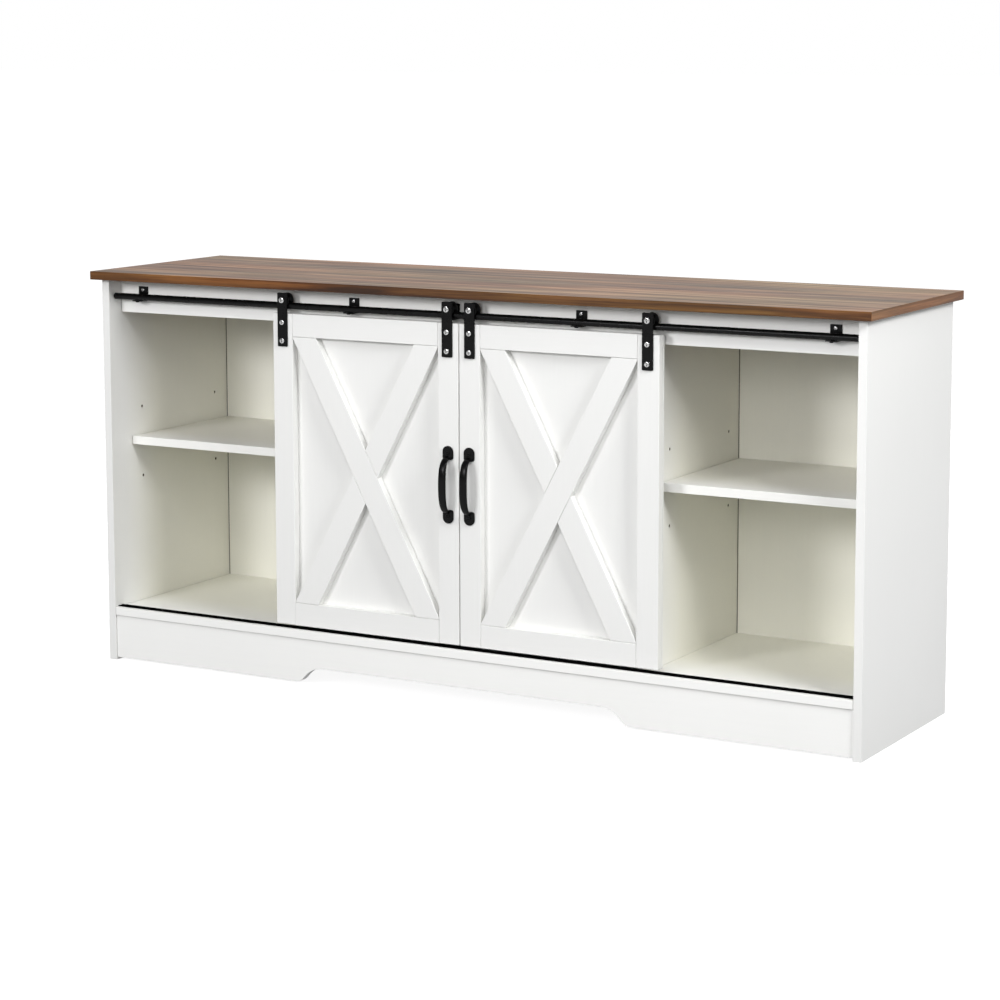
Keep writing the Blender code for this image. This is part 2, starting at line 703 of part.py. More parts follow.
def add_hanger(label, place, centre_x, black, nylon, steel, parent):
    """Strap on the door face, with a roller behind it on an axle bolt."""
    strap_front = add_strap(f"{label}_hanger_strap_{place}", centre_x, black, parent)
    roller_centre = (centre_x, ROD_Y, ROLLER_Z)
    roller_mesh = turned_mesh(roller_profile(), "Y", roller_centre, ROLLER_STEPS, ring=True)
    roller = add_object(f"{label}_roller_{place}", roller_mesh, nylon, roller_centre, parent)
    shade_round(roller)
    head_back = strap_front - GAP
    nut_front = ROD_Y + ROLLER_WIDTH / 2 + GAP
    crown_radius, shoulder_radius, edge_radius = AXLE_HEAD_RADII
    profile = (
        (head_back - AXLE_HEAD, crown_radius),
        (head_back - AXLE_HEAD_CROWN, shoulder_radius),
        (head_back - AXLE_HEAD_EDGE, edge_radius),
        (head_back, edge_radius),
        (head_back, AXLE_RADIUS),
        (nut_front + AXLE_NUT + AXLE_TIP, AXLE_RADIUS),
    )
    axle_centre = (centre_x, 0.0, ROLLER_Z)
    bolt_mesh = turned_mesh(profile, "Y", axle_centre, FINE)
    bolt = add_object(f"{label}_axle_bolt_{place}", bolt_mesh, steel, roller_centre, parent)
    nut_profile = ((nut_front, AXLE_NUT_RADIUS), (nut_front + AXLE_NUT, AXLE_NUT_RADIUS))
    boolean(bolt, turned_mesh(nut_profile, "Y", axle_centre, HEXAGON), "UNION")
    shade_round(bolt)


def add_guide_pin(label, centre_x, nylon, parent):
    """Pin in the door's lower edge that runs in the floor track."""
    profile = (
        (GUIDE_PIN_BOTTOM, GUIDE_PIN_RADIUS),
        (DOOR_BOTTOM + GUIDE_PIN_INSERT, GUIDE_PIN_RADIUS),
    )
    centre = (centre_x, TRACK_Y, 0.0)
    pin = turned_mesh(profile, "Z", centre, COARSE)
    origin = (centre_x, TRACK_Y, GUIDE_PIN_BOTTOM)
    shade_round(add_object(f"{label}_guide_pin", pin, nylon, origin, parent))


def add_door(label, left_x, opening_side, materials):
    """A complete door on its own empty; opening_side is the way it slides open."""
    white, sheet, black, nylon, steel = materials
    centre_x = left_x + DOOR_WIDTH / 2
    carrier = bpy.data.objects.new(f"{label}_carrier", None)
    carrier.location = (centre_x, ROD_Y, ROD_Z)
    bpy.context.collection.objects.link(carrier)
    add_door_frame(label, left_x, white, sheet, carrier)
    add_door_braces(label, left_x, opening_side > 0, white, carrier)
    add_handle(label, centre_x - opening_side * HANDLE_OFFSET, black, carrier)
    for place, offset in zip(("left", "right"), HANGER_OFFSETS):
        add_hanger(label, place, centre_x + offset, black, nylon, steel, carrier)
    add_guide_pin(label, centre_x, nylon, carrier)


def main():
    for item in list(bpy.data.objects):
        bpy.data.objects.remove(item, do_unlink=True)
    white = make_material("white_laminate", (0.86, 0.86, 0.84), 0.45)
    sheet = make_material("white_hardboard", (0.83, 0.82, 0.78), 0.5)
    brown = make_material("brown_woodgrain", (0.20, 0.12, 0.075), 0.5)
    black = make_material("black_steel", (0.012, 0.012, 0.013), 0.42, 0.6)
    nylon = make_material("black_nylon", (0.015, 0.015, 0.016), 0.5)
    steel = make_material("zinc_steel", (0.72, 0.72, 0.71), 0.25, 1.0)
    add_carcass(white, sheet, brown)
    add_shelves(white, steel)
    add_rail(black)
    add_floor_track(black)
    door_materials = (white, sheet, black, nylon, steel)
    left_x = DOOR_MEETING_X - DOOR_MEETING_GAP / 2 - DOOR_WIDTH
    right_x = DOOR_MEETING_X + DOOR_MEETING_GAP / 2
    add_door("left_door", left_x, -1, door_materials)
    add_door("right_door", right_x, 1, door_materials)


main()
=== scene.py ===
"""Looks of the sliding barn door media console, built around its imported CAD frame."""

import math

import bmesh
import bpy
from mathutils import Matrix, Vector


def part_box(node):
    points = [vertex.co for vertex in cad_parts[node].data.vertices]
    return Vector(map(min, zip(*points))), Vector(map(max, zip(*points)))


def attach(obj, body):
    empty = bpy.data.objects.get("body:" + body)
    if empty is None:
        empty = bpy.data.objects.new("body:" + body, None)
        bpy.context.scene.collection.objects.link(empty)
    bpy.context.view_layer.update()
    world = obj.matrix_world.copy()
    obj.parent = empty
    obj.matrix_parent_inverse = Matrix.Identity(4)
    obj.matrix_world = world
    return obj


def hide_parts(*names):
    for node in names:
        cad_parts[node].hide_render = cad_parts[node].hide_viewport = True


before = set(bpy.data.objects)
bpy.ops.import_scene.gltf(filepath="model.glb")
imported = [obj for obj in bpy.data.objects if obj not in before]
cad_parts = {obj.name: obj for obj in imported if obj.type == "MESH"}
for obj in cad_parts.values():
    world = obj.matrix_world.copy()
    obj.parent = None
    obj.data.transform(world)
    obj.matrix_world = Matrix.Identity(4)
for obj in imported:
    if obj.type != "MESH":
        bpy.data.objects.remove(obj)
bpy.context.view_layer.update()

DOORS = ("left_door", "right_door")
PLACES = ("left", "right")

# Lengths in metres.
FRAME_EDGE = 0.0009
BOARD_EDGE = 0.0006
TOP_EDGE = 0.0008
SHEET_EDGE = 0.0003
STEEL_EDGE = 0.0005
SMALL_EDGE = 0.0002
PLAY = 0.0003
WELD_DISTANCE = 0.000002
BRACKET_STEEL = 0.002
BRACKET_SCREW_DROP = 0.0060
STRAP_SCREW_HEIGHTS = (("upper", 0.0422), ("lower", 0.0101))
HANDLE_PLATE = 0.003
HANDLE_SCREW_OFFSET = 0.0535
HANDLE_VOXEL = 0.00055

# Segments round a turned part.
NUT_SIDES = 6
SCREW_SIDES = 40
ROD_SIDES = 64
ROLLER_SIDES = 72

SHARP_ANGLE = 35


# --- node helpers -------------------------------------------------------------------------


def start_material(name, colour, roughness, metallic=0.0, specular=0.5):
    """A Principled material. Returns the material, its node tree and its shader."""
    material = bpy.data.materials.new(name)
    material.use_nodes = True
    tree = material.node_tree
    shader = tree.nodes["Principled BSDF"]
    shader.inputs["Base Color"].default_value = (*colour, 1.0)
    shader.inputs["Roughness"].default_value = roughness
    shader.inputs["Metallic"].default_value = metallic
    shader.inputs["Specular IOR Level"].default_value = specular
    return material, tree, shader


def feed(tree, socket, value):
    """Link an output to a socket, or set a plain value on it."""
    if isinstance(value, bpy.types.NodeSocket):
        tree.links.new(value, socket)
    else:
        socket.default_value = value


def mapped(tree, vector, scale, shift=(0.0, 0.0, 0.0)):
    """Coordinates stretched by a scale on each axis."""
    node = tree.nodes.new("ShaderNodeMapping")
    tree.links.new(vector, node.inputs["Vector"])
    node.inputs["Scale"].default_value = scale
    node.inputs["Location"].default_value = shift
    return node.outputs["Vector"]


def noise(tree, vector, scale=1.0, detail=3.0, rough=0.5, distortion=0.0):
    """Fractal noise between 0 and 1."""
    node = tree.nodes.new("ShaderNodeTexNoise")
    tree.links.new(vector, node.inputs["Vector"])
    node.inputs["Scale"].default_value = scale
    node.inputs["Detail"].default_value = detail
    node.inputs["Roughness"].default_value = rough
    node.inputs["Distortion"].default_value = distortion
    return node.outputs["Fac"]


def ramp(tree, value, stops, smooth=False):
    """A colour ramp with (place, (r, g, b)) stops."""
    node = tree.nodes.new("ShaderNodeValToRGB")
    tree.links.new(value, node.inputs["Fac"])
    points = node.color_ramp
    if smooth:
        points.interpolation = "EASE"
    while len(points.elements) < len(stops):
        points.elements.new(0.5)
    for element, (place, colour) in zip(points.elements, stops):
        element.position = place
        element.color = (*colour, 1.0)
    return node.outputs["Color"]


def spread(tree, value, low, high, out_low, out_high):
    """Map a value from one range to another, clamped."""
    node = tree.nodes.new("ShaderNodeMapRange")
    tree.links.new(value, node.inputs["Value"])
    ends = {"From Min": low, "From Max": high, "To Min": out_low, "To Max": out_high}
    for key, number in ends.items():
        node.inputs[key].default_value = number
    return node.outputs["Result"]


def mixed(tree, factor, first, second, blend="MIX"):
    """Mix two colours."""
    node = tree.nodes.new("ShaderNodeMix")
    node.data_type = "RGBA"
    node.blend_type = blend
    factor_socket, first_socket, second_socket = (node.inputs[index] for index in (0, 6, 7))
    feed(tree, factor_socket, factor)
    feed(tree, first_socket, first)
    feed(tree, second_socket, second)
    return node.outputs[2]


def calculate(tree, operation, first, second=0.0):
    """A math node."""
    node = tree.nodes.new("ShaderNodeMath")
    node.operation = operation
    feed(tree, node.inputs[0], first)
    feed(tree, node.inputs[1], second)
    return node.outputs[0]


def bump(tree, shader, height, distance, strength=1.0):
    """Feed a height in 0 to 1 into the shader's normal; distance is its depth in metres."""
    node = tree.nodes.new("ShaderNodeBump")
    tree.links.new(height, node.inputs["Height"])
    node.inputs["Distance"].default_value = distance
    node.inputs["Strength"].default_value = strength
    tree.links.new(node.outputs["Normal"], shader.inputs["Normal"])


def object_coordinates(tree):
    """Rest-frame coordinates in metres."""
    return tree.nodes.new("ShaderNodeTexCoord").outputs["Object"]


# --- materials ----------------------------------------------------------------------------


def stretched(axis, along, across):
    """A mapping scale that is low along one axis and high across the others."""
    scale = [across, across, across]
    scale["XYZ".index(axis)] = along
    return tuple(scale)


def inside_uprights(tree, place):
    """1 strictly inside the drilled uprights, which only the walls of the pin holes are."""
    front_limit, depth_limit, margin = -0.120, 0.150, 0.0008
    split = tree.nodes.new("ShaderNodeSeparateXYZ")
    tree.links.new(place, split.inputs["Vector"])
    across = calculate(tree, "ABSOLUTE", split.outputs["X"])
    depth = calculate(tree, "ABSOLUTE", split.outputs["Y"])
    mask = calculate(tree, "LESS_THAN", depth, depth_limit)
    boards = []
    for node in ("right_side_panel", "right_divider"):
        low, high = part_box(node)
        above = calculate(tree, "GREATER_THAN", across, low.x + margin)
        below = calculate(tree, "LESS_THAN", across, high.x - margin)
        boards.append(calculate(tree, "MULTIPLY", above, below))
    front_clear = calculate(tree, "GREATER_THAN", split.outputs["Y"], front_limit)
    return calculate(tree, "MULTIPLY", calculate(tree, "MULTIPLY", mask, front_clear),
                     calculate(tree, "ADD", *boards))


def back_corner_shade(tree, place):
    """1 in the narrow gap where the back meets a side panel or a divider, drawn dark there as
    painted shade.
    """
    half_line = 0.0015
    split = tree.nodes.new("ShaderNodeSeparateXYZ")
    tree.links.new(place, split.inputs["Vector"])
    across = calculate(tree, "ABSOLUTE", split.outputs["X"])
    lines = []
    for face in (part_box("right_side_panel")[0].x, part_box("right_divider")[1].x):
        distance = calculate(tree, "ABSOLUTE", calculate(tree, "SUBTRACT", across, face))
        lines.append(calculate(tree, "LESS_THAN", distance, half_line))
    return calculate(tree, "ADD", *lines)


def kick_board_shade(tree, place):
    """1 along the kick board's hairline joints, under the bottom panel and at the side panels,
    drawn dark there as painted shade.
    """
    split = tree.nodes.new("ShaderNodeSeparateXYZ")
    tree.links.new(place, split.inputs["Vector"])
    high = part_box("kick_board")[1]
    half_line = 0.0004
    joint_height = high.z + 0.00015
    across = calculate(tree, "ABSOLUTE", split.outputs["X"])
    rise = calculate(tree, "SUBTRACT", split.outputs["Z"], joint_height)
    above = calculate(tree, "LESS_THAN", calculate(tree, "ABSOLUTE", rise), half_line)
    beside = calculate(tree, "GREATER_THAN", across, high.x - half_line)
    return calculate(tree, "MAXIMUM", above, beside)


def painted_bounce_mask(tree, place):
    """From 0 to 1 going in behind the front fascia, between the side panels: where the painted
    bounce light takes over.
    """
    split = tree.nodes.new("ShaderNodeSeparateXYZ")
    tree.links.new(place, split.inputs["Vector"])
    across = calculate(tree, "ABSOLUTE", split.outputs["X"])
    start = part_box("front_fascia")[0].y + 0.002
    fade = 0.1
    inner_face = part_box("right_side_panel")[0].x + 0.001
    behind = spread(tree, split.outputs["Y"], start, start + fade, 0.0, 1.0)
    between = calculate(tree, "LESS_THAN", across, inner_face)
    return calculate(tree, "MULTIPLY", behind, between)


def white_laminate(name, axis, outer_white=(0.790, 0.790, 0.765), drilled=False, painted_shade_lines=None):
    """White melamine with a faint embossed grain along one axis, painted warmer and brighter
    inside the carcass as painted bounce light.

    Drilled boards show raw core in their holes. The optional line mask marks joints that are drawn
    near black as painted shade.
    """
    bounce_lit_white = (0.843, 0.833, 0.745)
    material, tree, shader = start_material(name, outer_white, 0.42, specular=0.35)
    place = object_coordinates(tree)
    cloud = noise(tree, place, 3.0, 3.0)
    grain = noise(tree, mapped(tree, place, stretched(axis, 9.0, 260.0)), 1.0, 4.0, 0.6)
    shade = mixed(tree, 0.35, cloud, grain)
    tones = []
    for white in (outer_white, bounce_lit_white):
        dark = tuple(0.978 * part for part in white)
        light = tuple(1.015 * part for part in white)
        tones.append(ramp(tree, shade, ((0.3, dark), (0.7, light))))
    # Inside the carcass the warmer, brighter white is painted bounce light, not a different board.
    colour = mixed(tree, painted_bounce_mask(tree, place), *tones)
    if drilled:
        core = ((0.3, (0.05, 0.03, 0.018)), (0.7, (0.13, 0.09, 0.05)))
        raw = ramp(tree, noise(tree, place, 900.0), core)
        colour = mixed(tree, inside_uprights(tree, place), colour, raw)
    if painted_shade_lines:
        # Painted shade: the masked joint lines are drawn near black.
        colour = mixed(tree, painted_shade_lines(tree, place), colour, (0.10, 0.09, 0.07, 1.0))
    tree.links.new(colour, shader.inputs["Base Color"])
    tree.links.new(spread(tree, grain, 0.3, 0.7, 0.38, 0.47), shader.inputs["Roughness"])
    bump(tree, shader, grain, 0.00005, 0.5)
    return material


def brown_woodgrain(name):
    """Brown foil with streaks of tan, rust and olive that run along each face."""
    material, tree, shader = start_material(name, (0.13, 0.055, 0.018), 0.42, specular=0.19)
    coordinates = tree.nodes.new("ShaderNodeTexCoord")
    place, facing = coordinates.outputs["Object"], coordinates.outputs["Normal"]
    quarter_turn = tree.nodes.new("ShaderNodeVectorRotate")
    quarter_turn.rotation_type = "Z_AXIS"
    quarter_turn.inputs["Angle"].default_value = math.pi / 2
    tree.links.new(place, quarter_turn.inputs["Vector"])
    split = tree.nodes.new("ShaderNodeSeparateXYZ")
    tree.links.new(facing, split.inputs["Vector"])
    on_end = calculate(tree, "GREATER_THAN", calculate(tree, "ABSOLUTE", split.outputs["X"]), 0.7)
    pick = tree.nodes.new("ShaderNodeMix")
    pick.data_type = "VECTOR"
    feed(tree, pick.inputs[0], on_end)
    feed(tree, pick.inputs[4], place)
    feed(tree, pick.inputs[5], quarter_turn.outputs["Vector"])
    grain_place = pick.outputs[1]

    broad = noise(tree, mapped(tree, grain_place, (1.1, 13.0, 20.0)), 1.0, 3.0, 0.55, 0.4)
    streak = noise(tree, mapped(tree, grain_place, (2.6, 70.0, 80.0)), 1.0, 5.0, 0.6, 0.3)
    pores = noise(tree, mapped(tree, grain_place, (14.0, 620.0, 620.0)), 1.0, 3.0, 0.6)
    hue = noise(tree, mapped(tree, grain_place, (2.2, 9.0, 9.0), (3.1, 1.7, 0.4)), 1.0, 2.0)

    base = ramp(
        tree,
        broad,
        (
            (0.39, (0.040, 0.020, 0.009)),
            (0.47, (0.092, 0.044, 0.018)),
            (0.55, (0.150, 0.075, 0.029)),
            (0.63, (0.250, 0.140, 0.064)),
        ),
    )
    fine = ramp(
        tree,
        streak,
        (
            (0.39, (0.020, 0.010, 0.005)),
            (0.49, (0.106, 0.051, 0.019)),
            (0.60, (0.280, 0.160, 0.070)),
        ),
    )
    colour = mixed(tree, 0.5, base, fine)
    tints = ramp(
        tree,
        hue,
        (
            (0.38, (0.88, 1.00, 0.92)),
            (0.50, (1.0, 1.0, 1.0)),
            (0.62, (1.08, 0.96, 0.88)),
        ),
    )
    colour = mixed(tree, 1.0, colour, tints, "MULTIPLY")
    pore_shade = ramp(tree, pores, ((0.36, (0.55, 0.52, 0.50)), (0.50, (1.0, 1.0, 1.0))))
    colour = mixed(tree, 0.6, colour, pore_shade, "MULTIPLY")
    # Painted shade: the sideways-facing front, back and end edges get a darker, more saturated
    # brown than the upper face.
    edge_shade_mask = calculate(tree, "LESS_THAN", calculate(tree, "ABSOLUTE", split.outputs["Z"]), 0.5)
    painted_edge_shade = mixed(tree, 1.0, colour, (0.88, 0.68, 0.44, 1.0), "MULTIPLY")
    colour = mixed(tree, edge_shade_mask, colour, painted_edge_shade)
    tree.links.new(colour, shader.inputs["Base Color"])
    tree.links.new(spread(tree, streak, 0.3, 0.7, 0.48, 0.36), shader.inputs["Roughness"])
    height = calculate(tree, "ADD", pores, calculate(tree, "MULTIPLY", streak, 0.5))
    bump(tree, shader, height, 0.00008, 0.6)
    return material


def black_powder_coat(name, rough=0.28, gleam=0.10):
    """Black powder coat with a fine orange-peel skin, semi-gloss unless told otherwise."""
    material, tree, shader = start_material(name, (0.002, 0.002, 0.002), rough, specular=gleam)
    place = object_coordinates(tree)
    peel = noise(tree, place, 1500.0, 2.0)
    cloud = noise(tree, place, 60.0, 3.0)
    colour = ramp(tree, cloud, ((0.3, (0.0015, 0.0015, 0.0015)), (0.7, (0.003, 0.003, 0.003))))
    tree.links.new(colour, shader.inputs["Base Color"])
    roughness = spread(tree, cloud, 0.3, 0.7, rough - 0.04, rough + 0.05)
    tree.links.new(roughness, shader.inputs["Roughness"])
    bump(tree, shader, peel, 0.00003, 0.5)
    return material


def black_nylon(name):
    """Moulded black nylon, slightly duller than the steel."""
    material, tree, shader = start_material(name, (0.003, 0.003, 0.003), 0.45, specular=0.12)
    cloud = noise(tree, object_coordinates(tree), 300.0, 3.0)
    tree.links.new(spread(tree, cloud, 0.3, 0.7, 0.40, 0.52), shader.inputs["Roughness"])
    bump(tree, shader, cloud, 0.00003, 0.4)
    return material


def zinc_steel(name):
    """Bright zinc-plated steel."""
    material, tree, shader = start_material(name, (0.42, 0.42, 0.42), 0.22, metallic=1.0)
    cloud = noise(tree, object_coordinates(tree), 900.0, 3.0)
    colour = ramp(tree, cloud, ((0.3, (0.37, 0.37, 0.37)), (0.7, (0.50, 0.50, 0.49))))
    tree.links.new(colour, shader.inputs["Base Color"])
    tree.links.new(spread(tree, cloud, 0.3, 0.7, 0.17, 0.30), shader.inputs["Roughness"])
    return material


# --- pieces -------------------------------------------------------------------------------


def dress(node, material, bevel=0.0, segments=2):
    """Give a carried-over CAD node its finish and, with a bevel, softly rounded edges."""
    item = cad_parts[node]
    item.data.materials.clear()
    item.data.materials.append(material)
    if bevel:
        weld = item.modifiers.new("weld", "WELD")
        weld.merge_threshold = WELD_DISTANCE
        merge = item.modifiers.new("merge", "DECIMATE")
        merge.decimate_type = "DISSOLVE"
        merge.angle_limit = math.radians(0.5)
        round_off = item.modifiers.new("round", "BEVEL")
        round_off.width = bevel
        round_off.segments = segments
        round_off.limit_method = "ANGLE"
        round_off.angle_limit = math.radians(SHARP_ANGLE)
        round_off.harden_normals = False
        item.data.shade_smooth()
        item.modifiers.new("normals", "WEIGHTED_NORMAL")


def place_mesh(name, mesh, material, body, location=(0.0, 0.0, 0.0), rotation=None):
    """An object that may share its mesh with others."""
    if not mesh.materials:
        mesh.materials.append(material)
    item = bpy.data.objects.new(name, mesh)
    bpy.context.scene.collection.objects.link(item)
    item.location = location
    if rotation:
        item.rotation_euler = rotation
    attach(item, body)
    return item


def shade_round(mesh, angle=SHARP_ANGLE):
    """Smooth shading with sharp edges above an angle in degrees."""
    mesh.shade_smooth()
    mesh.set_sharp_from_angle(angle=math.radians(angle))


def turned(profile, axis, centre, segments, ring=False):
    """Turn (along, radius) points about an axis; a ring profile closes on itself."""
    slot = "XYZ".index(axis)
    mesh_data = bmesh.new()
    rings = []
    for along, radius in profile:
        loop = []
        for step in range(segments):
            angle = 2 * math.pi * (step + 0.5) / segments
            point = [radius * math.cos(angle), radius * math.sin(angle)]
            point.insert(slot, along)
            loop.append(mesh_data.verts.new(Vector(centre) + Vector(point)))
        rings.append(loop)
    pairs = list(zip(rings, rings[1:]))
    if ring:
        pairs.append((rings[-1], rings[0]))
    for near, far in pairs:
        for step in range(segments):
            after = (step + 1) % segments
            mesh_data.faces.new((near[step], near[after], far[after], far[step]))
    if not ring:
        mesh_data.faces.new(rings[0])
        mesh_data.faces.new(rings[-1])
    return mesh_data


def solid(mesh_data, name="part"):
    """A plain mesh from a bmesh, faces outward."""
    bmesh.ops.recalc_face_normals(mesh_data, faces=mesh_data.faces)
    mesh = bpy.data.meshes.new(name)
    mesh_data.to_mesh(mesh)
    mesh_data.free()
    return mesh


def combined(base, other, operation, name):
    """The mesh of a Boolean of two bmeshes."""
    scene = bpy.context.scene
    first = bpy.data.objects.new("first", solid(base))
    second = bpy.data.objects.new("second", solid(other))
    for item in (first, second):
        scene.collection.objects.link(item)
    step = first.modifiers.new("cut", "BOOLEAN")
    step.operation = operation
    step.solver = "EXACT"
    step.object = second
    graph = bpy.context.evaluated_depsgraph_get()
    mesh = bpy.data.meshes.new_from_object(first.evaluated_get(graph))
    mesh.name = name
    for item in (first, second):
        bpy.data.objects.remove(item, do_unlink=True)
    return mesh


def arc(centre, radius, start, end, steps):
    """Points along an arc, both ends included."""
    points = []
    for step in range(steps + 1):
        angle = start + (end - start) * step / steps
        points.append((centre[0] + radius * math.cos(angle), centre[1] + radius * math.sin(angle)))
    return points


def cross_cutter(reach, blade, depth, top):
    """A tapered Phillips cross that enters along +Y from y = top."""
    outline = []
    for quarter in range(4):
        angle = -quarter * math.pi / 2
        for across, out in ((-blade, blade), (-blade, reach), (blade, reach)):
            x = across * math.cos(angle) - out * math.sin(angle)
            z = across * math.sin(angle) + out * math.cos(angle)
            outline.append((x, z))
    mesh_data = bmesh.new()
    layers = []
    for y, shrink in ((top, 1.12), (top + depth, 0.45)):
        layers.append([mesh_data.verts.new((shrink * x, y, shrink * z)) for x, z in outline])
    count = len(outline)
    for step in range(count):
        after = (step + 1) % count
        near, far = layers
        mesh_data.faces.new((near[step], near[after], far[after], far[step]))
    mesh_data.faces.new(layers[0])
    mesh_data.faces.new(layers[1])
    return mesh_data


def pan_head(name, radius, height, tail=None):
    """A pan-head Phillips screw, its head at y from -height to 0.

    The tail is an optional (radius, length) behind the head, with a chamfered tip.
    """
    crown = height * 0.95
    profile = [(-height, radius * 0.30), (-height * 0.985, radius * 0.45)]
    for degrees in (75, 55, 35, 15):
        a = math.radians(degrees)
        along = -height * 0.55 - 0.45 * crown * math.sin(a)
        profile.append((along, radius * (0.78 + 0.22 * math.cos(a))))
    profile += [(-height * 0.42, radius), (0.0, radius * 0.97)]
    if tail:
        chamfer = 0.0004
        tail_radius, length = tail
        profile += [(0.0, tail_radius), (length - chamfer, tail_radius)]
        profile.append((length, tail_radius - chamfer))
    head = turned(profile, "Y", (0.0, 0.0, 0.0), SCREW_SIDES)
    cutter = cross_cutter(radius * 0.62, radius * 0.16, height * 0.8, -height - 0.0001)
    mesh = combined(head, cutter, "DIFFERENCE", name)
    shade_round(mesh, 40)
    return mesh


def box_centre(node):
    """The middle of a CAD node's box."""
    low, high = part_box(node)
    return (low + high) / 2


def add_boards(materials):
    """Finish and softened edges for every board that carries over."""
    dress("top_panel", materials["brown"], TOP_EDGE, 3)
    upright = materials["white_z"]
    level = materials["white_x"]
    for node in ("left_side_panel", "right_side_panel", "left_divider", "right_divider"):
        dress(node, materials["drilled"], BOARD_EDGE)
    for node in ("bottom_panel", "kick_board", "front_fascia", "left_shelf", "right_shelf"):
        dress(node, materials["brightened_carcass_x"], BOARD_EDGE)
    for side in ("left", "center", "right"):
        dress("back_panel_" + side, materials["sheet"], SHEET_EDGE)
    for door in DOORS:
        dress(f"{door}_panel", upright, SHEET_EDGE)
        for part in ("left_stile", "right_stile"):
            dress(f"{door}_{part}", upright, FRAME_EDGE)
        for part in ("top_rail", "bottom_rail"):
            dress(f"{door}_{part}", level, FRAME_EDGE)
        for part in ("long_brace", "upper_brace", "lower_brace"):
            dress(f"{door}_{part}", upright, FRAME_EDGE)


def add_metalwork(materials):
    """Finish for the steel and nylon parts that carry over."""
    for number in range(1, 6):
        dress(f"rail_bracket_{number}", materials["black"], STEEL_EDGE)
    dress("bottom_track", materials["matt"], SMALL_EDGE)
    for side in PLACES:
        for end in ("outer", "inner"):
            for row in ("front", "rear"):
                dress(f"{side}_shelf_pin_{end}_{row}", materials["zinc"], SMALL_EDGE)
    for door in DOORS:
        dress(f"{door}_guide_pin", materials["nylon"])
        for place in PLACES:
            dress(f"{door}_hanger_strap_{place}", materials["black"], STEEL_EDGE, 3)


def add_rod(materials):
    """The rail rod with chamfered ends."""
    low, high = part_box("rail_rod")
    centre = (low + high) / 2
    radius = (high.z - low.z) / 2
    chamfer = 0.0008
    profile = (
        (low.x, radius - chamfer),
        (low.x + chamfer, radius),
        (high.x - chamfer, radius),
        (high.x, radius - chamfer),
    )
    mesh = solid(turned(profile, "X", (0.0, centre.y, centre.z), ROD_SIDES), "rod")
    shade_round(mesh)
    rod = place_mesh("rod", mesh, materials["black"], "carcass")
    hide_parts("rail_rod")


def roller_section(half, bore, flange, running, groove):
    """Half-section of a grooved roller, with rounded rims and a shallow face recess."""
    rim = 0.0009
    dish = 0.0011
    dish_radius, face_radius = 0.0048, 0.0056
    bell = 0.45
    outline = [(-half + dish, bore), (-half + dish, dish_radius)]
    outline += [(-half, face_radius), (-half, flange - rim)]
    outline += arc((-half + rim, flange - rim), rim, math.pi, math.pi / 2, 5)
    centre = running + groove
    flare = flange - centre
    outline.append((-groove - flare * bell, flange))
    outline += arc((0.0, centre), groove, -math.pi, 0.0, 24)
    outline.append((groove + flare * bell, flange))
    outline += arc((half - rim, flange - rim), rim, math.pi / 2, 0.0, 5)
    outline += [(half, face_radius), (half - dish, dish_radius), (half - dish, bore)]
    return outline


def add_rollers(materials):
    """Grooved rollers on their axle bolts, each bolt with a hex nut."""
    rod_low, rod_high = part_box("rail_rod")
    rod_radius = (rod_high.z - rod_low.z) / 2
    sample_low, sample_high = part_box("left_door_axle_bolt_left")
    strap_low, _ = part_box("left_door_hanger_strap_left")
    roller_low, roller_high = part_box("left_door_roller_left")
    half = (roller_high.y - roller_low.y) / 2
    flange = (roller_high.z - roller_low.z) / 2
    axis_z = (roller_high.z + roller_low.z) / 2
    bore = 0.0028
    running = axis_z - rod_high.z - PLAY
    section = roller_section(half, bore, flange, running, rod_radius + PLAY)
    roller_mesh = solid(turned(section, "Y", (0.0, 0.0, 0.0), ROLLER_SIDES, ring=True), "roller")
    shade_round(roller_mesh, 30)
    head_radius = 0.00525
    head_base = strap_low.y - PLAY
    head_height = head_base - sample_low.y
    tail = (0.0025, sample_high.y - head_base)
    bolt_mesh = pan_head("axle_bolt", head_radius, head_height, tail)
    nut_radius = 0.0046
    nut_low = roller_high.y + PLAY
    nut_depth = 0.004
    nut_chamfer = 0.0004
    nut_bore = 0.00265
    nut_profile = (
        (0.0, nut_radius * 0.93),
        (nut_chamfer, nut_radius),
        (nut_depth - nut_chamfer, nut_radius),
        (nut_depth, nut_radius * 0.93),
    )
    nut_body = turned(nut_profile, "Y", (0.0, 0.0, 0.0), NUT_SIDES)
    bore_profile = ((-0.001, nut_bore), (nut_depth + 0.001, nut_bore))
    bore_cut = turned(bore_profile, "Y", (0.0, 0.0, 0.0), 32)
    nut_mesh = combined(nut_body, bore_cut, "DIFFERENCE", "axle_nut")
    shade_round(nut_mesh, 25)
    for door in DOORS:
        for place in PLACES:
            centre = box_centre(f"{door}_roller_{place}")
            wheel = place_mesh(f"{door}_{place}_wheel", roller_mesh, materials["nylon"],
                               f"{door}_{place}_roller", centre)
            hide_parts(f"{door}_roller_{place}")
            bolt = place_mesh(f"{door}_{place}_bolt", bolt_mesh, materials["zinc"], door,
                              (centre.x, head_base, centre.z))
            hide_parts(f"{door}_axle_bolt_{place}")
            place_mesh(f"{door}_{place}_nut", nut_mesh, materials["zinc"], door,
                       (centre.x, nut_low, centre.z))


